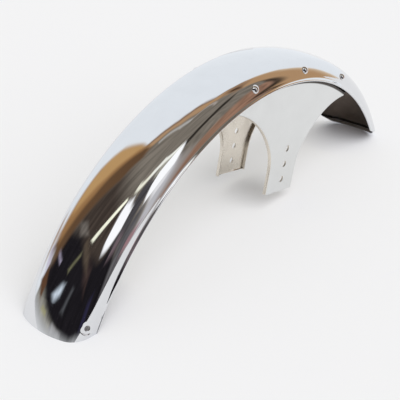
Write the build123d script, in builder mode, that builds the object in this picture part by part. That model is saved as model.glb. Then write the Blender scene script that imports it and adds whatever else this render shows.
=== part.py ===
from build123d import *
from math import acos, asin, cos, degrees, radians, sin
import os

# A front mudguard for a motorcycle: a plated sheet blade with two T-shaped
# brackets riveted inside its flanks. Sizes are in mm. X points forwards, Y to
# the rider's left and Z up, and the part stands on its two ends at Z = 0.
# Angles along the blade are measured at the wheel axle, from upright forwards.

# Cross-section of the blade: each long edge is a bead, which flares out of the
# flank through a small valley and rolls back inwards
sheet = 1.0
edge_radius = 345.0
half_width = 47.4
roll_radius = 2.2
roll_turn = 240.0
valley_radius = 1.2
valley_tilt = 62.0
flank_tilt = 4.0
flank_length = 1.1
shoulder_radius = 22.5
crown_radius = 110.0

# Ends of the blade: the rear is cut level, the front is cut at a rake and
# turned in as a lip
rear_angle = 59.88
front_angle = 55.8
front_rake = 20.5
lip_width = 8.5
lip_drop = 48.5
spare_angle = 8.0
axle_x = 1.0

# Rivets and stay holes sit where the shoulder faces up by this angle
seat_lift = 24.5
stay_height = 11.1
stay_hole = 6.5
stay_seat = 11.0
stay_boss = 9.9

# Brackets, symmetrical about a line from the axle
bracket_angle = 12.3
plate = 2.0
leg_clear = 1.65
leg_half = 31.0
leg_length = 148.0
flare_depth = 119.0
flare_radius = 58.0
flare_turn = 35.0
wing_radius = 130.0
wing_clear = 5.7
flange = 5.5
bend_radius = 2.4
step_height = 5.8
strip_low_angle = 13.0
strip_high_angle = 42.0
leg_hole = 8.5
foot_to_hole = 17.0
hole_pitch = 21.0

# Rivets, which grip the blade and the bracket's strip
rivet_angle = 17.2
rivet_shank = 6.0
rivet_head = 10.5
rivet_rise = 3.4
tail_head = 9.0
tail_rise = 2.2

# Clearance between pieces that lie against each other
gap = 0.05

axle = Vector(axle_x, 0, -edge_radius * cos(radians(rear_angle)))
axle_line = Axis(axle, (0, 1, 0))
sweep_limit = max(rear_angle, front_angle) + spare_angle
roll_y = half_width - roll_radius * (1 - cos(radians(valley_tilt)))
roll_r = edge_radius + roll_radius * (1 + sin(radians(valley_tilt)))
valley_y = roll_y - valley_radius * (cos(radians(flank_tilt)) - cos(radians(valley_tilt)))
valley_r = roll_r + valley_radius * (sin(radians(valley_tilt)) - sin(radians(flank_tilt)))
flank_y = valley_y - flank_length * sin(radians(flank_tilt))
flank_r = valley_r + flank_length * cos(radians(flank_tilt))
shoulder_y = flank_y - shoulder_radius * cos(radians(flank_tilt))
shoulder_r = flank_r - shoulder_radius * sin(radians(flank_tilt))
crown_turn = degrees(asin(shoulder_y / (crown_radius - shoulder_radius)))
stay_r = shoulder_r + shoulder_radius * sin(radians(seat_lift))
stay_angle = -degrees(acos((stay_height - axle.Z) / stay_r))
stay_seat_depth = stay_boss * stay_seat / (8 * shoulder_radius)


def radial(angle):
    """Direction from the axle, at an angle from upright towards the front."""
    return Vector(sin(radians(angle)), 0, cos(radians(angle)))


def section_plane(angle):
    """Plane of a cross-section: its x is the part's Y and its y is the distance from the axle."""
    return Plane(origin=axle, x_dir=(0, 1, 0), z_dir=radial(angle + 90))


def seat_plane(angle, side, depth=0.0):
    """Plane that touches the blade's outer face on the shoulder, moved inwards by a depth."""
    out = Vector(0, side * cos(radians(seat_lift)), 0) + radial(angle) * sin(radians(seat_lift))
    centre = axle + Vector(0, side * shoulder_y, 0) + radial(angle) * shoulder_r
    return Plane(origin=centre + out * (shoulder_radius - depth), x_dir=radial(angle + 90), z_dir=out)


def rivet_angles():
    """Angles of the three rivets of one side."""
    return [bracket_angle + i * rivet_angle for i in (-1, 0, 1)]


def half_outline(depth):
    """Line of the section on the left at a depth under the outer face, from above the bead up to the crown."""
    low_y = valley_y - depth * cos(radians(flank_tilt))
    low_r = valley_r - depth * sin(radians(flank_tilt))
    flank = PolarLine((low_y, low_r), flank_length, 90 + flank_tilt)
    shoulder = JernArc(flank @ 1, flank % 1, shoulder_radius - depth, 90 - flank_tilt - crown_turn)
    JernArc(shoulder @ 1, shoulder % 1, crown_radius - depth, crown_turn)
    return flank


def half_bead(flank, depth):
    """Line of the bead at a depth under the outer face, from the flank to the end of the roll."""
    valley = JernArc(flank @ 0, (flank % 0) * -1, valley_radius + depth, valley_tilt - flank_tilt)
    return JernArc(valley @ 1, valley % 1, roll_radius - depth, -valley_tilt - roll_turn)


# Raked plane of the front end, through the front corners of the beads
front_cut = Plane(
    origin=axle + radial(front_angle) * edge_radius,
    x_dir=(0, 1, 0),
    z_dir=(sin(radians(front_rake)), 0, cos(radians(front_rake))),
)

# Solid body under the outer face at the front end, which gives the rim of the raked cut
with BuildPart() as front_body:
    with BuildSketch(section_plane(front_angle - spare_angle)):
        with BuildLine():
            flank = half_outline(0)
            Line(flank @ 0, (0, valley_r))
            mirror(about=Plane.YZ)
        make_face()
    revolve(axis=axle_line, revolution_arc=sweep_limit - front_angle + spare_angle)
    split(bisect_by=front_cut, keep=Keep.TOP)

on_cut = front_body.faces().filter_by(lambda face: abs(front_cut.to_local_coords(face.center()).Z) < gap)
rim = Wire(on_cut[0].edges().filter_by(GeomType.LINE, reverse=True))

# Blade: one sheet with beaded edges, flattened stay seats at the rear and the lip at the front
with BuildPart() as blade:
    with BuildSketch(section_plane(-sweep_limit)):
        with BuildLine():
            outer = half_bead(half_outline(0), 0)
            inner = half_bead(half_outline(sheet), sheet)
            Line(outer @ 1, inner @ 1)
            mirror(about=Plane.YZ)
        make_face()
    revolve(axis=axle_line, revolution_arc=2 * sweep_limit)
    with Locations([seat_plane(stay_angle, side, stay_seat_depth) for side in (-1, 1)]):
        Cylinder(stay_seat / 2, 3 * sheet, align=(Align.CENTER, Align.CENTER, Align.MIN), mode=Mode.SUBTRACT)
        Cylinder(stay_boss / 2, sheet, align=(Align.CENTER, Align.CENTER, Align.MAX))
        Hole(stay_hole / 2, 3 * sheet)
    with Locations(front_cut):
        with Locations((0, 4 * roll_radius, 0)):
            below = (Align.CENTER, Align.MAX, Align.MAX)
            Box(3 * half_width, edge_radius, edge_radius, align=below, mode=Mode.SUBTRACT)
    with BuildSketch(Plane(origin=rim @ 0, x_dir=(0, -1, 0), z_dir=rim % 0)):
        with Locations((2 * gap, 0)):
            Rectangle(lip_width, sheet, align=(Align.MIN, Align.MAX), rotation=lip_drop)
    sweep(path=rim)
    with Locations([seat_plane(angle, side) for side in (-1, 1) for angle in rivet_angles()]):
        Hole(rivet_shank / 2 + gap, 4 * sheet)
    split(bisect_by=Plane.XY, keep=Keep.TOP)

# Plane of the left bracket's outer face: its y runs from the axle along the leg
leg_y = half_width - 2 * roll_radius - leg_clear
leg_foot = edge_radius - leg_length
step_radius = edge_radius + step_height
leg_plane = Plane(origin=axle + Vector(0, leg_y, 0), x_dir=radial(bracket_angle + 90), z_dir=(0, -1, 0))


def bracket_side():
    """Side of the bracket, from the foot of the leg out to the tip of the wing."""
    leg = Line((leg_half, leg_foot), (leg_half, edge_radius - flare_depth))
    flare = JernArc(leg @ 1, leg % 1, flare_radius, -flare_turn)
    centre = flare @ 1 + (flare % 1).rotate(Axis.Z, -90) * wing_radius
    reach = edge_radius - wing_clear
    corner = acos((centre.length**2 + wing_radius**2 - reach**2) / (2 * centre.length * wing_radius))
    wing_turn = degrees(corner) - (centre * -1).get_angle(flare @ 1 - centre)
    return leg, JernArc(flare @ 1, flare % 1, wing_radius, -wing_turn)


def is_bend(edge):
    """True for an edge along a flange, which is clear of the foot and of the strip."""
    spots = [leg_plane.to_local_coords(edge @ place) for place in (0, 0.5, 1)]
    reach = max(Vector(spot.X, spot.Y).length for spot in spots)
    return spots[1].Y > leg_foot + gap and reach < step_radius - gap


# Flat outline of a bracket, which is a T with hollow sides
with BuildSketch(leg_plane) as blank:
    with BuildLine():
        leg, wing = bracket_side()
        tip = PolarLine(wing @ 1, 3 * shoulder_radius, direction=wing @ 1)
        Line(tip @ 1, (0, (tip @ 1).Y))
        Line(leg @ 0, (0, leg_foot))
        mirror(about=Plane.YZ)
    make_face()

# Left bracket: a plate with a strip along its top that follows the shoulder, and
# flanges turned inwards along both sides of the leg and wings
with BuildPart() as left_bracket:
    with BuildSketch(section_plane(bracket_angle - 2 * rivet_angle)):
        with BuildLine():
            strip_radius = shoulder_radius - sheet - gap
            strip_span = strip_high_angle - strip_low_angle
            strip = CenterArc((shoulder_y, shoulder_r), strip_radius, strip_low_angle, strip_span)
            step = Line((leg_y, step_radius), strip @ 0)
            Line((leg_y, leg_foot - leg_half), step @ 0)
            offset(amount=plate, side=Side.LEFT)
        make_face()
    revolve(axis=axle_line, revolution_arc=4 * rivet_angle)
    extrude(blank.sketch, amount=half_width, both=True, mode=Mode.INTERSECT)
    with BuildSketch(leg_plane):
        with BuildLine():
            leg, wing = bracket_side()
            PolarLine(wing @ 1, 5 * plate, direction=wing % 1)
            offset(amount=plate, side=Side.LEFT)
        make_face()
        mirror(about=Plane.YZ)
        add(blank.sketch_local, mode=Mode.INTERSECT)
    extrude(amount=flange)
    outer_edges = left_bracket.edges().filter_by_position(Axis.Y, leg_y - gap / 2, leg_y + gap / 2)
    fillet(outer_edges.filter_by(is_bend), bend_radius)
    with Locations(leg_plane):
        with Locations([(0, leg_foot + foot_to_hole + i * hole_pitch) for i in range(3)]):
            Hole(leg_hole / 2, 4 * plate)
    with Locations([seat_plane(angle, 1) for angle in rivet_angles()]):
        Hole(rivet_shank / 2 + gap, 4 * plate)

# Right bracket: the mirror image of the left one
with BuildPart() as right_bracket:
    add(left_bracket.part)
    mirror(about=Plane.XZ, mode=Mode.REPLACE)

# Rivets: a domed head outside, a shank through both sheets and a formed head inside
head_sphere = (rivet_head**2 / 4 + rivet_rise**2) / (2 * rivet_rise)
tail_sphere = (tail_head**2 / 4 + tail_rise**2) / (2 * tail_rise)
grip = sheet + gap + plate


def rivets(side, bracket):
    """Three rivets of one side, with their heads set down onto the curved sheets."""
    above = (Align.CENTER, Align.CENTER, Align.MIN)
    below = (Align.CENTER, Align.CENTER, Align.MAX)
    with BuildPart() as group:
        with Locations([seat_plane(angle, side) for angle in rivet_angles()]):
            Sphere(head_sphere, arc_size1=degrees(asin(1 - rivet_rise / head_sphere)), align=above)
            Cylinder(rivet_head / 2, sheet, align=below)
            Cylinder(rivet_shank / 2, grip + sheet, align=below)
        with Locations([-seat_plane(angle, side, grip) for angle in rivet_angles()]):
            Sphere(tail_sphere, arc_size1=degrees(asin(1 - tail_rise / tail_sphere)), align=above)
        add(blade.part, mode=Mode.SUBTRACT)
        add(bracket.part, mode=Mode.SUBTRACT)
    return group


left_rivets = rivets(1, left_bracket)
right_rivets = rivets(-1, right_bracket)

os.makedirs("parts", exist_ok=True)
pieces = {
    "blade": blade,
    "left_bracket": left_bracket,
    "right_bracket": right_bracket,
    "left_rivets": left_rivets,
    "right_rivets": right_rivets,
}
for name, piece in pieces.items():
    piece.part.label = name
    export_step(piece.part, f"parts/{name}.step")
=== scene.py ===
import bmesh
import bpy
from math import acos, asin, atan2, cos, hypot, pi, radians, sin
from mathutils import Matrix, Vector


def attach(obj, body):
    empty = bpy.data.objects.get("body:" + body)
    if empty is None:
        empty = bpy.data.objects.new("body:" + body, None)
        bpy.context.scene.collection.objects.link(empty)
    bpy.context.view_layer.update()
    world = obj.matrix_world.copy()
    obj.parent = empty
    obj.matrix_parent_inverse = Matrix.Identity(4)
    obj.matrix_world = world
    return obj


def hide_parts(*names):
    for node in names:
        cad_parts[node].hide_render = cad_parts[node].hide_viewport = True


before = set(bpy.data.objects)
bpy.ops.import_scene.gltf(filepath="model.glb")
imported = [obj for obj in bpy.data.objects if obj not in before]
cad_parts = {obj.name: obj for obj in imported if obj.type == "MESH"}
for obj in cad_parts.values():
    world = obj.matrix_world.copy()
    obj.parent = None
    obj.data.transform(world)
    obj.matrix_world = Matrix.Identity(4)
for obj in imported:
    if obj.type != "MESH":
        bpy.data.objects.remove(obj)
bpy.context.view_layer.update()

# Blade: one pressed steel sheet, arched over the wheel and chrome plated. Its long
# edges flare out and roll back as beads, the rear end is cut level with flattened seats
# for the stays, and the front end is cut at a rake and folded in as a lip.
sheet = 0.001
edge_radius = 0.345
half_width = 0.0484
roll_radius = 0.0016
roll_turn = radians(240)
valley_radius = 0.0040
valley_tilt = radians(54)
flank_tilt = radians(4)
flank_length = 0.0011
shoulder_radius = 0.0225
crown_radius = 0.110
rear_angle = radians(59.88)
front_angle = radians(55.8)
front_rake = radians(20.5)
axle = Vector((0.001, 0, -edge_radius * cos(rear_angle)))
across = Vector((0, 1, 0))
forwards = Vector((1, 0, 0))
join_distance = 0.00001
hair = 0.000001


def radial(angle):
    """Direction from the axle, at an angle from upright towards the front."""
    return Vector((sin(angle), 0, cos(angle)))


def from_axle(place):
    """Distance of a place from the axle."""
    return hypot(place.x - axle.x, place.z - axle.z)


def eased(share):
    """Share from 0 to 1 with a soft start and a soft end."""
    return share * share * (3 - 2 * share)


def verts_of(geom):
    """Vertices among the geometry that an operator returns."""
    return [item for item in geom if isinstance(item, bmesh.types.BMVert)]


def edges_of(geom):
    """Edges among the geometry that an operator returns."""
    return [item for item in geom if isinstance(item, bmesh.types.BMEdge)]


def turn(mesh, geom, centre, axis, angle, steps):
    """Spins geometry about a centre and returns what is at the end of the turn."""
    spun = bmesh.ops.spin(
        mesh, geom=geom, cent=centre, axis=axis, angle=angle, steps=steps
    )
    return spun["geom_last"]


def pull(mesh, vert, shift):
    """Extrudes one vertex into an edge and returns the new vertex."""
    new = bmesh.ops.extrude_vert_indiv(mesh, verts=[vert])["verts"]
    bmesh.ops.translate(mesh, verts=new, vec=shift)
    return new[0]


def finished(name, mesh, slot, node, *materials):
    """Makes a piece from a mesh, stands it for a node and puts it on the part's body."""
    crease = radians(40)
    cut_edges = [e.is_boundary for e in mesh.edges]
    data = bpy.data.meshes.new(name)
    mesh.to_mesh(data)
    mesh.free()
    piece = bpy.data.objects.new(name, data)
    bpy.context.scene.collection.objects.link(piece)
    for material in materials:
        data.materials.append(material)
    data.polygons.foreach_set("use_smooth", [True] * len(data.polygons))
    data.set_sharp_from_angle(angle=crease)
    for e, cut in zip(data.edges, cut_edges):
        e.use_edge_sharp = e.use_edge_sharp or cut
    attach(piece, "root")
    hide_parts(node)
    return piece


# Half of the cross-section from the bead to the crown, then its mirror image
valley_steps = 10
roll_steps = 40
shoulder_steps = 40
crown_steps = 14
flank_side = Vector((0, cos(flank_tilt), sin(flank_tilt)))
valley_side = Vector((0, cos(valley_tilt), sin(valley_tilt)))
roll_centre = Vector((0, half_width - roll_radius, edge_radius + roll_radius))
valley_centre = roll_centre + (roll_radius + valley_radius) * valley_side
flank_low = valley_centre - valley_radius * flank_side
flank_top = flank_low + flank_length * Vector((0, -sin(flank_tilt), cos(flank_tilt)))
shoulder_centre = flank_top - shoulder_radius * flank_side
shoulder_turn = asin(shoulder_centre.y / (crown_radius - shoulder_radius))
crown_drop = (crown_radius - shoulder_radius) * cos(shoulder_turn)
crown_centre = Vector((0, 0, shoulder_centre.z - crown_drop))
blade_mesh = bmesh.new()
flank_foot = blade_mesh.verts.new(flank_low)
valley = turn(
    blade_mesh,
    [flank_foot],
    valley_centre,
    forwards,
    valley_tilt - flank_tilt,
    valley_steps,
)
turn(blade_mesh, valley, roll_centre, forwards, -valley_tilt - roll_turn, roll_steps)
flank = pull(blade_mesh, flank_foot, flank_top - flank_low)
shoulder = turn(
    blade_mesh,
    [flank],
    shoulder_centre,
    forwards,
    pi / 2 - flank_tilt - shoulder_turn,
    shoulder_steps,
)
turn(blade_mesh, shoulder, crown_centre, forwards, shoulder_turn, crown_steps)
half = blade_mesh.verts[:] + blade_mesh.edges[:]
bmesh.ops.mirror(blade_mesh, geom=half, axis="Y", merge_dist=join_distance)
bmesh.ops.translate(blade_mesh, verts=blade_mesh.verts, vec=axle)

# The section is swept about the axle from rear to front, with fine steps at the stay seats
seat_span = radians(4)
seat_steps = 40
arch_steps = 112
to_rear = Matrix.Rotation(-rear_angle, 3, across)
bmesh.ops.rotate(blade_mesh, verts=blade_mesh.verts, cent=axle, matrix=to_rear)
section = blade_mesh.verts[:] + blade_mesh.edges[:]
section = turn(blade_mesh, section, axle, across, seat_span, seat_steps)
section = turn(
    blade_mesh, section, axle, across, rear_angle + front_angle - seat_span, arch_steps
)
rim = verts_of(section)

# Both ends slide along the arch until the rear lies level and the front lies in its
# raked plane. The beads flatten towards the rear end.
end_stretch = radians(10)
lip_fold = 0.0014
flat_span = radians(9.5)
flat_gain = 1.25
flat_most = 0.85
front_level = edge_radius * cos(front_angle - front_rake)
corners = {}
for vert in blade_mesh.verts:
    away = vert.co - axle
    reach = hypot(away.x, away.z)
    angle = atan2(away.x, away.z)
    to_rear_end = rear_angle - acos(edge_radius * cos(rear_angle) / reach)
    to_front_end = front_rake + acos(front_level / reach) - front_angle
    share_rear = max(0, 1 - (angle + rear_angle) / end_stretch)
    share_front = max(0, 1 - (front_angle - angle) / end_stretch)
    fold = lip_fold / reach
    flare = abs(away.y) - flank_low.y
    share_flat = min(
        flat_most, max(0, flat_gain - flat_gain * (angle + rear_angle) / flat_span)
    )
    if flare > 0 and reach < flank_low.z:
        away.y -= share_flat * flare * (1 if away.y > 0 else -1)
    angle += share_rear * to_rear_end + share_front * (to_front_end - fold)
    vert.co = axle + Vector((0, away.y, 0)) + reach * radial(angle)
    corners[vert] = axle + Vector((0, away.y, 0)) + reach * radial(angle + fold)
bmesh.ops.recalc_face_normals(blade_mesh, faces=blade_mesh.faces)
blade_mesh.normal_update()
crown = max(blade_mesh.verts, key=lambda vert: vert.co.z)
if crown.normal.z < 0:
    bmesh.ops.reverse_faces(blade_mesh, faces=blade_mesh.faces)
    blade_mesh.normal_update()

# The lip is folded in all round the front rim, above the beads: four steps round the
# fold and two along the flat of the lip, which narrows down both flanks
lip_width = 0.0085
lip_drop = radians(48.5)
lip_taper = 0.018
lip_steps = [0.25, 0.5, 0.75, 1, 2, 3]
cut_normal = Vector((sin(front_rake), 0, cos(front_rake)))


def on_sheet(vert):
    """True above the bead."""
    return from_axle(vert.co) > flank_low.z - hair


lip_verts = {vert for vert in rim if on_sheet(vert)}
lip_edges = [
    e
    for e in blade_mesh.edges
    if e.is_boundary and all(vert in lip_verts for vert in e.verts)
]
fold_lines = {}
for vert in lip_verts:
    level = vert.normal - vert.normal.dot(cut_normal) * cut_normal
    lip_way = -cos(lip_drop) * level.normalized() - sin(lip_drop) * cut_normal
    share = min(1, (from_axle(vert.co) - flank_low.z) / lip_taper)
    flat = eased(share) * (lip_width - lip_fold)
    fold_lines[tuple(vert.co)] = (vert.co.copy(), corners[vert], lip_way, flat)
for step in lip_steps:
    new = bmesh.ops.extrude_edge_only(blade_mesh, edges=lip_edges)["geom"]
    lip_edges = edges_of(new)
    lines = {}
    for vert in verts_of(new):
        start, corner, lip_way, flat = fold_lines[tuple(vert.co)]
        if step <= 1:
            end = corner + lip_fold * lip_way
            back = 1 - step
            vert.co = back**2 * start + 2 * step * back * corner + step**2 * end
        else:
            vert.co = corner + (lip_fold + (step - 1) / 2 * flat) * lip_way
        lines[tuple(vert.co)] = (start, corner, lip_way, flat)
    fold_lines = lines

# Stay seats are pressed flat on both shoulders near the rear end, with a hole in each
seat_lift = radians(24.5)
seat_depth = 0.0008
seat_radius = 0.0074
seat_edge = 0.0012
seat_below = 0.001
seat_above = 0.002
stay_height = 0.0111
stay_hole = 0.0065
stay_reach = shoulder_centre.z + shoulder_radius * sin(seat_lift)
stay_angle = -acos((stay_height - axle.z) / stay_reach)


def seat(angle, side, depth):
    """Place and outward direction of a seat on one shoulder."""
    out = side * cos(seat_lift) * across + sin(seat_lift) * radial(angle)
    middle = axle + side * shoulder_centre.y * across + shoulder_centre.z * radial(angle)
    return middle + (shoulder_radius - depth) * out, out


for side in (-1, 1):
    place, out = seat(stay_angle, side, seat_depth)
    for vert in blade_mesh.verts:
        away = vert.co - place
        rise = away.dot(out)
        spread = (away - rise * out).length
        if -seat_below < rise < seat_above and spread < seat_radius:
            share = min(1, (seat_radius - spread) / seat_edge)
            vert.co -= eased(share) * rise * out
    hole = [
        face
        for face in blade_mesh.faces
        if (face.calc_center_median() - place).length < stay_hole / 2
    ]
    bmesh.ops.delete(blade_mesh, geom=hole, context="FACES")
    for vert in blade_mesh.verts:
        away = vert.co - place
        if vert.is_boundary and away.length < stay_hole:
            vert.co = place + stay_hole / 2 * away.normalized()


def add_node(tree, kind, inputs, **settings):
    """Adds a shader node. Inputs, by name or number, are values or other outputs."""
    node = tree.nodes.new(f"ShaderNode{kind}")
    for name, value in settings.items():
        setattr(node, name, value)
    for socket, value in inputs.items():
        if isinstance(value, bpy.types.NodeSocket):
            tree.links.new(value, node.inputs[socket])
        else:
            node.inputs[socket].default_value = value
    return node


def number(tree, operation, *values):
    """Output of a math node whose inputs are numbers or other outputs."""
    inputs = dict(enumerate(values))
    return add_node(tree, "Math", inputs, operation=operation).outputs[0]


def ranged(tree, value, low, high, to_low=0, to_high=1, curve="LINEAR"):
    """Output of a value carried over from one range to another and held within it."""
    inputs = {"Value": value, "From Min": low, "From Max": high}
    inputs.update({"To Min": to_low, "To Max": to_high})
    node = add_node(tree, "MapRange", inputs, interpolation_type=curve)
    return node.outputs["Result"]


def mixed(tree, share, under, over):
    """Output of a colour laid over another one by a share."""
    inputs = {"Factor": share, "A": under, "B": over}
    return add_node(tree, "Mix", inputs, data_type="RGBA").outputs["Result"]


def noise(tree, place, scale, detail):
    """Output of a soft random pattern."""
    inputs = {"Vector": place, "Scale": scale, "Detail": detail}
    return add_node(tree, "TexNoise", inputs).outputs["Fac"]


def chrome(name, colour, roughness, bump):
    """Bright plating, with faint haze and dust in its gloss and slow waves in the sheet."""
    haze_scale = 45
    haze_low = 0.35
    haze_high = 0.8
    haze_gloss = 2.2
    haze_tone = 0.93
    wave_scale = 28
    wave_height = 0.001
    material = bpy.data.materials.new(name)
    material.use_nodes = True
    tree = material.node_tree
    shader = tree.nodes["Principled BSDF"]
    shader.inputs["Metallic"].default_value = 1
    place = add_node(tree, "TexCoord", {}).outputs["Object"]
    haze = noise(tree, place, haze_scale, 8)
    rough = ranged(tree, haze, haze_low, haze_high, roughness, roughness * haze_gloss)
    hazy = [c * haze_tone for c in colour]
    tone = mixed(tree, haze, (*colour, 1), (*hazy, 1))
    waves = noise(tree, place, wave_scale, 1)
    relief = add_node(
        tree, "Bump", {"Height": waves, "Strength": bump, "Distance": wave_height}
    )
    tree.links.new(rough, shader.inputs["Roughness"])
    tree.links.new(tone, shader.inputs["Base Color"])
    tree.links.new(relief.outputs["Normal"], shader.inputs["Normal"])
    return material


def paint_light_band(material, colour, field, start, full, last, end):
    """Paints light and shade as a tint where a field, a length in metres, lies between a
    start and an end.
    """
    tree = material.node_tree
    rising = ranged(tree, field, start, full)
    falling = ranged(tree, field, end, last)
    share = number(tree, "MULTIPLY", rising, falling)
    base = tree.nodes["Principled BSDF"].inputs["Base Color"]
    tinted = mixed(tree, share, base.links[0].from_socket, (*colour, 1))
    tree.links.new(tinted, base)


blade_chrome = chrome("blade_chrome", (0.8, 0.81, 0.83), 0.03, 0.05)
blade_inside = chrome("blade_inside", (0.235, 0.19, 0.156), 0.3, 0.2)

# Inside the front end the lip is duller, and painted paler as a painted highlight where it
# faces up into the light, and painted shade darkens its fold. Both follow the height over
# the raked plane, which is lifted out of reach away from the front end.
lip_light_tint = (0.86, 0.88, 0.92)
fold_shade_tint = (0.03, 0.026, 0.022)
front_end = 0.2
inside_tree = blade_inside.node_tree
inside_place = inside_tree.nodes["Texture Coordinate"].outputs["Object"]
over_plane = add_node(
    inside_tree, "VectorMath", {0: inside_place, 1: cut_normal}, operation="DOT_PRODUCT"
)
inside_x = add_node(inside_tree, "SeparateXYZ", {0: inside_place}).outputs["X"]
not_front = number(inside_tree, "LESS_THAN", inside_x, front_end)
lip_field = number(inside_tree, "ADD", over_plane.outputs["Value"], not_front)
cut_height = axle.dot(cut_normal) + front_level
lip_light_band = [cut_height + offset for offset in (-0.02, -0.018, -0.001, 0)]
fold_shade_band = [cut_height + offset for offset in (-0.0012, -0.0004, 0.0016, 0.0032)]
# Painted highlight on the lip where it faces up into the light
paint_light_band(blade_inside, lip_light_tint, lip_field, *lip_light_band)
# Painted shade along the fold of the lip
paint_light_band(blade_inside, fold_shade_tint, lip_field, *fold_shade_band)

# The beads are bright inside their roll as well
for face in blade_mesh.faces:
    face.material_index = 0 if any(on_sheet(vert) for vert in face.verts) else 2
plating = (blade_chrome, blade_inside, blade_chrome, blade_chrome)
blade = finished("chrome_blade", blade_mesh, "blade_chrome", "blade", *plating)
wall = blade.modifiers.new("sheet", "SOLIDIFY")
wall.thickness = sheet
wall.offset = -1
wall.use_even_offset = True
wall.material_offset = 1

# Brackets: a T-shaped steel plate inside each flank, chrome plated, with flanges bent
# inwards along both sides of its leg and wings. A strip along the top follows the
# shoulder of the blade and takes the rivets, and the leg has three bolt holes.
bracket_angle = radians(12.3)
plate = 0.002
gap = 0.00005
leg_y = 0.04135
leg_half = 0.031
leg_length = 0.148
flare_depth = 0.119
flare_radius = 0.058
flare_turn = radians(35)
wing_radius = 0.130
wing_turn = radians(47)
flange = 0.0055
bend_radius = 0.0024
bend_border = 0.0032
slack = 0.0001
step_height = 0.0058
strip_low = radians(13)
strip_high = radians(42)
leg_hole = 0.0085
foot_to_hole = 0.017
hole_pitch = 0.021
leg_foot = edge_radius - leg_length
step_radius = edge_radius + step_height
hole_heights = [leg_foot + foot_to_hole + i * hole_pitch for i in range(3)]
inwards = Vector((0, 0, 1))

# Drawn flat, with x along the guard and y from the axle, then filled between outline
# and holes
flare_steps = 10
wing_steps = 24
top_steps = 30
hole_sides = 40
bracket_mesh = bmesh.new()
foot = bracket_mesh.verts.new((0, leg_foot, 0))
corner = pull(bracket_mesh, foot, Vector((leg_half, 0, 0)))
leg_top = pull(bracket_mesh, corner, Vector((0, leg_length - flare_depth, 0)))
flare_centre = leg_top.co + Vector((flare_radius, 0, 0))
flare_end = turn(
    bracket_mesh, [leg_top], flare_centre, inwards, -flare_turn, flare_steps
)
flare_tip = verts_of(flare_end)[0]
wing_side = Vector((cos(flare_turn), -sin(flare_turn), 0))
wing_centre = flare_tip.co + wing_radius * wing_side
wing_end = turn(
    bracket_mesh, [flare_tip], wing_centre, inwards, -wing_turn, wing_steps
)
wing_tip = verts_of(wing_end)[0]
tip_reach = wing_tip.co.length
to_top = (step_radius - tip_reach) * wing_tip.co.normalized()
top_corner = pull(bracket_mesh, wing_tip, to_top)
tip_angle = atan2(top_corner.co.x, top_corner.co.y)
turn(bracket_mesh, [top_corner], Vector((0, 0, 0)), inwards, tip_angle, top_steps)
half = bracket_mesh.verts[:] + bracket_mesh.edges[:]
bmesh.ops.mirror(bracket_mesh, geom=half, axis="X", merge_dist=join_distance)
for height in hole_heights:
    bmesh.ops.create_circle(
        bracket_mesh,
        segments=hole_sides,
        radius=leg_hole / 2,
        matrix=Matrix.Translation((0, height, 0)),
    )
bmesh.ops.triangle_fill(bracket_mesh, edges=bracket_mesh.edges, use_beauty=True)
bmesh.ops.inset_region(
    bracket_mesh,
    faces=bracket_mesh.faces,
    thickness=bend_border,
    use_boundary=True,
    use_even_offset=True,
)


def along_flange(e):
    """True for an outline edge along the leg or the wings."""
    middle = (e.verts[0].co + e.verts[1].co) / 2
    if not e.is_boundary or middle.y < leg_foot + slack:
        return False
    for height in hole_heights:
        if (middle - Vector((0, height, 0))).length < leg_hole:
            return False
    return max(vert.co.length for vert in e.verts) < tip_reach + join_distance


def along_top(e):
    """True for an outline edge along the top arc."""
    nearest = min(vert.co.length for vert in e.verts)
    return e.is_boundary and nearest > step_radius - slack


# The top edge is carried up the strip, and the sides are turned inwards as flanges
strip_steps = 8
bend_segments = 5
strip_edges = [e for e in bracket_mesh.edges if along_top(e)]
bends = [e for e in bracket_mesh.edges if along_flange(e)]
strip_radius = shoulder_radius - sheet - gap
for i in range(strip_steps + 1):
    lift = strip_low + (strip_high - strip_low) * i / strip_steps
    new = bmesh.ops.extrude_edge_only(bracket_mesh, edges=strip_edges)["geom"]
    strip_edges = edges_of(new)
    reach = shoulder_centre.z + strip_radius * sin(lift)
    depth = leg_y - shoulder_centre.y - strip_radius * cos(lift)
    for vert in verts_of(new):
        flat = Vector((vert.co.x, vert.co.y, 0)).normalized()
        vert.co = reach * flat + depth * inwards
flanges = bmesh.ops.extrude_edge_only(bracket_mesh, edges=bends)["geom"]
bmesh.ops.translate(bracket_mesh, verts=verts_of(flanges), vec=flange * inwards)
bmesh.ops.bevel(
    bracket_mesh,
    geom=bends,
    offset=bend_radius,
    segments=bend_segments,
    profile=0.5,
    affect="EDGES",
    material=-1,
)
bmesh.ops.recalc_face_normals(bracket_mesh, faces=bracket_mesh.faces)
widest = max(bracket_mesh.faces, key=lambda face: face.calc_area())
if widest.normal.z > 0:
    bmesh.ops.reverse_faces(bracket_mesh, faces=bracket_mesh.faces)

# The plating is dull on the flanges, with a cream tint that is painted warm light, and the
# bracket is stood up inside the left flank
flange_slope = 0.55
for face in bracket_mesh.faces:
    face.material_index = 1 if abs(face.normal.z) < flange_slope else 0
ways = Matrix((radial(bracket_angle + pi / 2), radial(bracket_angle), -across))
stand = Matrix.Translation(axle + leg_y * across) @ ways.transposed().to_4x4()
bmesh.ops.transform(bracket_mesh, matrix=stand, verts=bracket_mesh.verts)
bracket_chrome = chrome("bracket_chrome", (0.79, 0.8, 0.795), 0.06, 0.08)
# Dull plating for inner faces and flanges, tinted cream as painted warm light
bracket_inside = chrome("bracket_inside", (0.8, 0.745, 0.66), 0.2, 0.08)
# Rough plating for cut edges and hole walls, tinted cream as painted warm light
bracket_edge = chrome("bracket_edge", (0.88, 0.83, 0.75), 0.45, 0.08)
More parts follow.
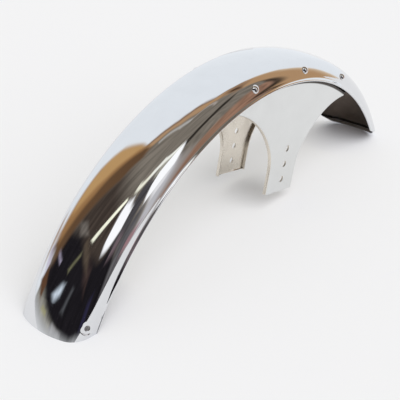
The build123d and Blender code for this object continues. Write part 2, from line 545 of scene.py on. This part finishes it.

# Painted shade on the plates in the gap under the beads, by distance from the axle
gap_shade_tint = (0.045, 0.036, 0.03)
gap_shade_band = (0.3404, 0.3418, 0.352, 0.353)
plate_tree = bracket_chrome.node_tree
plate_place = plate_tree.nodes["Texture Coordinate"].outputs["Object"]
off_axle = add_node(
    plate_tree,
    "VectorMath",
    {0: plate_place, 1: (1, 0, 1), 2: -axle},
    operation="MULTIPLY_ADD",
)
axle_distance = add_node(
    plate_tree, "VectorMath", {0: off_axle.outputs["Vector"]}, operation="LENGTH"
)
# Painted shade in the gap under the beads
paint_light_band(bracket_chrome, gap_shade_tint, axle_distance.outputs["Value"], *gap_shade_band)

# The right bracket is the mirror image. Inner faces take the dull plating, and cut edges
# and the walls of the holes a duller one; the cream tints of both are painted warm light.
bracket_finish = (
    bracket_chrome,
    bracket_inside,
    bracket_inside,
    bracket_edge,
    bracket_edge,
)
right_mesh = bracket_mesh.copy()
bmesh.ops.scale(right_mesh, vec=(1, -1, 1), verts=right_mesh.verts)
bmesh.ops.reverse_faces(right_mesh, faces=right_mesh.faces)
for side, mesh in (("left", bracket_mesh), ("right", right_mesh)):
    bracket = finished(
        f"{side}_plate", mesh, "bracket_chrome", f"{side}_bracket", *bracket_finish
    )
    wall = bracket.modifiers.new("plate", "SOLIDIFY")
    wall.thickness = plate
    wall.offset = -1
    wall.use_even_offset = True
    wall.material_offset = 1
    wall.material_offset_rim = 3

# Rivets: three round-head steel rivets on each side, chrome plated with the blade.
# Each has a domed head outside and a flatter formed head inside the bracket's strip.
rivet_spread = radians(17.2)
head_radius = 0.00525
head_rise = 0.0034
head_skirt = 0.0008
tail_radius = 0.0045
tail_rise = 0.0022
tail_skirt = 0.0002
dome_steps = 16
dome_sides = 48
grip = sheet + gap + plate
rivet_chrome = chrome("rivet_chrome", (0.8, 0.8, 0.81), 0.05, 0.05)


def dome(mesh, place, out, radius, rise, skirt):
    """Adds a domed head that stands on a place, with a skirt below its rim."""
    ball = (radius**2 + rise**2) / (2 * rise)
    ball_centre = Vector((0, 0, rise - ball))
    start = len(mesh.verts)
    top = mesh.verts.new((0, 0, rise))
    rim_end = turn(mesh, [top], ball_centre, across, asin(radius / ball), dome_steps)
    pull(mesh, verts_of(rim_end)[0], Vector((0, 0, -skirt)))
    mesh.verts.ensure_lookup_table()
    profile = mesh.verts[start:]
    lines = list({e for vert in profile for e in vert.link_edges})
    bmesh.ops.spin(
        mesh,
        geom=profile + lines,
        cent=(0, 0, 0),
        axis=(0, 0, 1),
        angle=2 * pi,
        steps=dome_sides,
        use_merge=True,
    )
    mesh.verts.ensure_lookup_table()
    whole = mesh.verts[start:]
    aim = out.to_track_quat("Z", "Y").to_matrix().to_4x4()
    bmesh.ops.transform(mesh, matrix=Matrix.Translation(place) @ aim, verts=whole)


for name, side in (("left", 1), ("right", -1)):
    rivet_mesh = bmesh.new()
    for i in (-1, 0, 1):
        place, out = seat(bracket_angle + i * rivet_spread, side, 0)
        dome(rivet_mesh, place, out, head_radius, head_rise, head_skirt)
        inside = place - grip * out
        dome(rivet_mesh, inside, -out, tail_radius, tail_rise, tail_skirt)
    bmesh.ops.remove_doubles(rivet_mesh, verts=rivet_mesh.verts, dist=hair)
    bmesh.ops.recalc_face_normals(rivet_mesh, faces=rivet_mesh.faces)
    finished(
        f"{name}_rivet_heads", rivet_mesh, "rivet_chrome", f"{name}_rivets", rivet_chrome
    )

# Floor: a plain pale table top, matt so that it only takes soft shadows. The near part of
# it is what the chrome mirrors, and the wide part around it is only seen directly.
table_half = 2
floor_half = 6
floor_drop = 0.0002
table_edge = {
    -2: -0.235,
    -0.32: -0.235,
    -0.165: -0.38,
    -0.02: -0.225,
    0.2: -0.285,
    2: -0.31,
}
table_mesh = bmesh.new()
bmesh.ops.create_grid(table_mesh, x_segments=1, y_segments=1, size=table_half)
for edge_x in list(table_edge)[1:-1]:
    bmesh.ops.bisect_plane(
        table_mesh,
        geom=table_mesh.verts[:] + table_mesh.edges[:] + table_mesh.faces[:],
        plane_co=(edge_x, 0, 0),
        plane_no=(1, 0, 0),
    )
for vert in table_mesh.verts:
    if vert.co.y < 0:
        nearest = min(table_edge, key=lambda edge_x: abs(edge_x - vert.co.x))
        vert.co.y = table_edge[nearest]
floor_mesh = bmesh.new()
bmesh.ops.create_grid(floor_mesh, x_segments=1, y_segments=1, size=floor_half)
bmesh.ops.translate(floor_mesh, verts=floor_mesh.verts, vec=(0, 0, -floor_drop))

# The paint glows a little where it is seen or mirrored, which keeps the shadows pale,
# but not close under the part
# The glow is warmer than the paint, which tints the shadows warm as painted shade
paint_tone = (0.87, 0.88, 0.93, 1)
glow_tone = (0.93, 0.915, 0.86, 1)
glow_share = 0.42
shade_reach = 0.1
shade_deep = 0.35
shade_none = 0.95
paint = bpy.data.materials.new("floor_paint")
paint.use_nodes = True
paint_tree = paint.node_tree
paint_shader = paint_tree.nodes["Principled BSDF"]
paint_shader.inputs["Base Color"].default_value = paint_tone
paint_shader.inputs["Roughness"].default_value = 1
paint_shader.inputs["Specular IOR Level"].default_value = 0
pale = add_node(paint_tree, "Emission", {"Color": glow_tone})
ray = add_node(paint_tree, "LightPath", {}).outputs
seen = number(paint_tree, "MAXIMUM", ray["Is Camera Ray"], ray["Is Glossy Ray"])
near_part = add_node(
    paint_tree, "AmbientOcclusion", {"Distance": shade_reach}, samples=16
)
open_floor = ranged(paint_tree, near_part.outputs["AO"], shade_deep, shade_none)
open_seen = number(paint_tree, "MULTIPLY", seen, open_floor)
glow = number(paint_tree, "MULTIPLY", open_seen, glow_share)
blend = add_node(
    paint_tree,
    "MixShader",
    {0: glow, 1: paint_shader.outputs[0], 2: pale.outputs[0]},
)
paint_end = paint_tree.nodes["Material Output"]
paint_tree.links.new(blend.outputs[0], paint_end.inputs["Surface"])
for name, mesh in (("table", table_mesh), ("floor", floor_mesh)):
    data = bpy.data.meshes.new(name)
    mesh.to_mesh(data)
    mesh.free()
    data.materials.append(paint)
    ground = bpy.data.objects.new(name, data)
    bpy.context.scene.collection.objects.link(ground)
    ground.visible_glossy = name == "table"

# Light: one soft lamp from the camera's side for the floor, and around the chrome a studio
# of dark, warm and pale cards, which only reflections see.
lamp_heading = radians(-105)
lamp_height = radians(45)
daylight = bpy.data.lights.new("daylight", "SUN")
daylight.energy = 2.3
daylight.angle = radians(70)
lamp = bpy.data.objects.new("daylight", daylight)
lamp_way = Vector((cos(lamp_height), 0, sin(lamp_height)))
lamp_way = Matrix.Rotation(lamp_heading, 3, "Z") @ lamp_way
lamp.rotation_euler = lamp_way.to_track_quat("Z", "Y").to_euler()
lamp.visible_glossy = False
bpy.context.scene.collection.objects.link(lamp)
world = bpy.data.worlds.new("studio")
bpy.context.scene.world = world
world.use_nodes = True
sky = world.node_tree

# Each direction is an azimuth, from 35 to 395 degrees, and an elevation
seam = 35
whole_turn = 360
direction = add_node(sky, "TexCoord", {}).outputs["Generated"]
split = add_node(sky, "SeparateXYZ", {0: direction}).outputs
heading = number(sky, "DEGREES", number(sky, "ARCTAN2", split["Y"], split["X"]))
off_seam = number(sky, "SUBTRACT", heading, seam)
azimuth = number(sky, "ADD", number(sky, "FLOORED_MODULO", off_seam, whole_turn), seam)
elevation = number(sky, "DEGREES", number(sky, "ARCSINE", split["Z"]))
spot = add_node(sky, "CombineXYZ", {0: azimuth, 1: elevation, 2: 1}).outputs[0]
room = add_node(sky, "RGB", {}).outputs[0]
room.default_value = (0.23, 0.20, 0.165, 1)


def lay(cards, under):
    """Lays cards over what is under them. Each has the colour that it gives to a mirror
    of plating, the width of its soft edge and its corners, anticlockwise, in degrees."""
    plating_tone = 0.8
    screen_gamma = 2.2
    for colour, soft, corners in cards:
        depth = whole_turn
        for here, there in zip(corners, corners[1:] + corners[:1]):
            along = Vector(there) - Vector(here)
            side = Vector((-along.y, along.x)).normalized()
            line = (side.x, side.y, -side.dot(Vector(here)))
            edge = add_node(
                sky, "VectorMath", {0: spot, 1: line}, operation="DOT_PRODUCT"
            )
            depth = number(sky, "MINIMUM", depth, edge.outputs["Value"])
        share = ranged(sky, depth, -soft, soft, curve="SMOOTHSTEP")
        light = [(c / 255) ** screen_gamma / plating_tone for c in colour]
        under = mixed(sky, share, under, (*light, 1))
    return under


# Dark cards to the rear, with small lights in them
rear_cards = [
    ((66, 58, 53), 9, [(116, 28), (250, 28), (250, 64), (170, 62), (120, 68)]),
    ((72, 70, 72), 5, [(225, 20), (258, 20), (262, 48), (240, 62), (225, 62)]),
    (
        (33, 31, 34),
        3,
        [(119, -90), (282, -90), (270, -10), (259, 9), (245, 24)]
        + [(225, 35), (175, 38), (135, 35), (119, 26)],
    ),
    ((92, 90, 92), 4, [(266, -12), (284, -14), (268, 24), (252, 20)]),
    ((108, 94, 98), 3, [(232, 26), (247, 20), (250, 26), (236, 36)]),
    (
        (62, 51, 49),
        3,
        [(150, 33), (170, 29), (215, 4), (222, 6), (175, 34), (152, 38)],
    ),
    ((44, 42, 60), 3, [(226, 2), (240, 0), (236, 12), (224, 14)]),
    (
        (104, 98, 92),
        1.4,
        [(118, 28), (121, 26), (133, 33), (147, 35), (147, 39), (130, 37.5)],
    ),
    (
        (84, 74, 64),
        1.8,
        [(145, 34.5), (157, 33.5), (172, 30), (160, 37.5), (146, 39)],
    ),
    ((250, 250, 226), 0.8, [(150.5, 40), (155, 40.5), (165, 61.5), (160.5, 62)]),
    ((108, 106, 82), 1.4, [(143.5, 25), (145.5, 24.5), (150, 33), (148.5, 34)]),
    (
        (196, 207, 218),
        2,
        [(139.5, 13.5), (144, 13.5), (149, 17.5), (149, 21), (145, 19.5)],
    ),
    ((84, 85, 88), 2, [(158, 15), (161, 15), (162, 24), (160, 24)]),
    ((150, 142, 160), 1, [(119, 16.5), (130, 19), (130, 20.5), (119, 18)]),
    ((150, 147, 137), 2.8, [(118, 1), (150, 4.5), (157, 7.5), (130, 7.5), (118, 6)]),
    ((140, 139, 140), 1, [(150, 5), (167, 6), (166, 8.6), (152, 8.6)]),
]
room = lay(rear_cards, room)

# Warm and dark cards on the right, towards the front
right_cards = [
    ((140, 108, 90), 5, [(304, -90), (325, -90), (325, 12), (314, 14), (302, -5)]),
    ((50, 46, 42), 2.6, [(284, 34.5), (312, 37), (322, 42), (313, 45.5), (284, 45)]),
    ((66, 56, 48), 1.2, [(321.5, -90), (326.5, -90), (325.5, 28), (322, 15)]),
]
room = lay(right_cards, room)

# Fine streaks over all the cards so far
streak_heading = radians(62)
streak_size = (0.045, 0.4, 0.2)
streak_low = 0.3
streak_high = 0.7
darkest = 0.7
brightest = 1.3
streaked = add_node(
    sky,
    "Mapping",
    {"Vector": direction, "Rotation": (0, 0, streak_heading), "Scale": streak_size},
    vector_type="TEXTURE",
)
streaks = noise(sky, streaked.outputs[0], 1, 5)
streak_tone = ranged(sky, streaks, streak_low, streak_high, darkest, brightest)
room = add_node(
    sky, "VectorMath", {0: room, "Scale": streak_tone}, operation="SCALE"
).outputs[0]

# Bright cards to the rear and on the right, with a pale band above them
bright_cards = [
    ((238, 236, 216), 1.8, [(172, 66.5), (232, 65), (232, 71), (168, 70)]),
    ((240, 240, 230), 1.8, [(230, 65), (256, 61), (258, 67.5), (230, 71)]),
    ((240, 240, 230), 1.8, [(254, 61.5), (279, 46), (284, 49), (258, 67.5)]),
    ((155, 152, 140), 2.5, [(256, 50), (276, 48), (262, 58), (252, 58)]),
    (
        (252, 252, 253),
        2.5,
        [(169, 57), (176, 45), (189, 40.5), (214, 39)]
        + [(231, 40), (232, 50), (204, 63), (169, 62)],
    ),
    ((158, 151, 148), 5, [(286, -30), (312, -30), (297, 2), (287, 20), (276, 18)]),
    ((182, 181, 184), 3, [(286, -16), (298, -16), (286, 22), (275, 22)]),
    ((222, 221, 222), 3, [(280, 8), (286, 8), (285, 24), (270, 24)]),
    (
        (254, 254, 254),
        1.3,
        [(267, 23), (285, 20), (285, 46), (263, 49), (260, 42), (262, 33)],
    ),
    ((150, 118, 122), 2, [(272, -2), (288, -14), (290, -10), (274, 2)]),
]
room = lay(bright_cards, room)

# A wide pale card to the front and the left, with a warm border and warm patches
pale_cards = [
    ((168, 165, 160), 1, [(10, 73.3), (62, 74.6), (62, 77.2), (10, 75.6)]),
    ((168, 165, 160), 1, [(60, 74.6), (95, 70.5), (97, 71.8), (60, 77.2)]),
    ((162, 152, 144), 1, [(330, 62), (395, 73.5), (395, 75.8), (330, 64.3)]),
    (
        (170, 136, 102),
        1.8,
        [(325, -90), (420, -90), (420, 74), (395, 71.5), (372, 68.5)]
        + [(352, 65), (337, 57), (327, 43), (325, 20)],
    ),
    ((140, 113, 90), 4, [(324, 46), (340, 44), (356, 54), (360, 60), (350, 63)]),
    ((214, 196, 172), 5, [(334, -90), (345, -90), (352, 44), (345, 40), (337, 20)]),
    ((76, 57, 45), 2.2, [(324, 38), (329, 38), (343, 52), (356, 59), (338, 56)]),
    (
        (168, 136, 105),
        1.4,
        [(10, 60), (98, 58), (106, 65), (92, 69.6), (60, 73.6), (10, 69.5)],
    ),
    (
        (126, 100, 80),
        0.9,
        [(10, 58), (100, 56), (101, 61.7), (88, 66.5)]
        + [(75, 69), (62, 70.2), (48, 69), (10, 60.5)],
    ),
    (
        (126, 100, 80),
        0.9,
        [(350, 40), (420, 40), (420, 70.7), (390, 65.2)]
        + [(375, 62.2), (360, 57.3), (352, 50)],
    ),
    (
        (222, 226, 230),
        2,
        [(337, -90), (420, -90), (420, 68.7), (390, 63.2), (375, 60.2)]
        + [(360, 55.3), (350, 47), (343, 35), (339, 20)],
    ),
    (
        (222, 226, 230),
        1.2,
        [(10, -90), (118, -90), (118, 5), (98, 61), (88, 64.5)]
        + [(75, 67), (62, 68.2), (48, 67), (10, 58.5)],
    ),
    ((170, 152, 140), 3, [(88, 0), (110, 3), (106, 12), (97, 11)]),
    ((196, 190, 205), 1.4, [(108, 8.5), (116, 6), (117, 10.5), (110, 12.5)]),
    (
        (96, 73, 54),
        3,
        [(110, 10), (121, 14), (122, 55), (112, 66), (100, 67), (97, 62)],
    ),
    (
        (148, 112, 76),
        3,
        [(108, 12), (113.5, 16), (111.5, 36), (106.5, 49), (101, 60.5)]
        + [(97, 64), (93, 55), (91, 40), (93, 28)],
    ),
    (
        (181, 144, 98),
        3,
        [(104, 19), (106.5, 22), (105.5, 40), (100.5, 54), (96.5, 60)]
        + [(93.5, 57), (91, 48), (89.5, 40), (91, 33), (96, 25.5)],
    ),
    ((150, 146, 112), 0.8, [(131, 3.8), (141, 6), (140.5, 7.6), (133, 6.2)]),
    ((92, 66, 50), 1.5, [(116, 4), (126, 4), (126, 9), (119, 11)]),
]
room = lay(pale_cards, room)

# White cards low down, to the rear and the left
low_cards = [
    (
        (203, 204, 205),
        3.6,
        [(100, -90), (240, -90), (240, -5), (215, 3.5), (200, 6)]
        + [(180, 7.4), (165, 7), (150, 5), (128, 2), (100, -3)],
    ),
    ((205, 206, 207), 2, [(10, -90), (118, -90), (118, -1), (10, -1)]),
]
room = lay(low_cards, room)

# Reflections see the cards, the camera sees a pale backdrop, and all else plain soft light
soft_light = (0.5, 0.5, 0.5, 1)
backdrop_tone = (0.88, 0.88, 0.88, 1)
ray = add_node(sky, "LightPath", {}).outputs
backdrop = mixed(sky, ray["Is Camera Ray"], soft_light, backdrop_tone)
plain = sky.nodes["Background"]
sky.links.new(backdrop, plain.inputs["Color"])
reflected = add_node(sky, "Background", {"Color": room})
choose = add_node(
    sky,
    "MixShader",
    {0: ray["Is Glossy Ray"], 1: plain.outputs[0], 2: reflected.outputs[0]},
)
sky.links.new(choose.outputs[0], sky.nodes["World Output"].inputs["Surface"])

# Camera: where the photograph was taken from, behind the guard, above it and to its right.
camera_place = Vector((-0.72367, -0.50834, 0.52276))
look = Vector((0.6813, 0.5311, -0.5037)).normalized()
camera_up = Vector((0.3826, 0.3283, 0.8636))
right = look.cross(camera_up).normalized()
camera_up = right.cross(look)
lens = bpy.data.cameras.new("camera")
lens.lens = 70.09
lens.sensor_width = 36
camera = bpy.data.objects.new("camera", lens)
turned = Matrix((right, camera_up, -look)).transposed().to_4x4()
camera.matrix_world = Matrix.Translation(camera_place) @ turned
bpy.context.scene.collection.objects.link(camera)
bpy.context.scene.camera = camera
bpy.context.scene.view_settings.view_transform = "Standard"
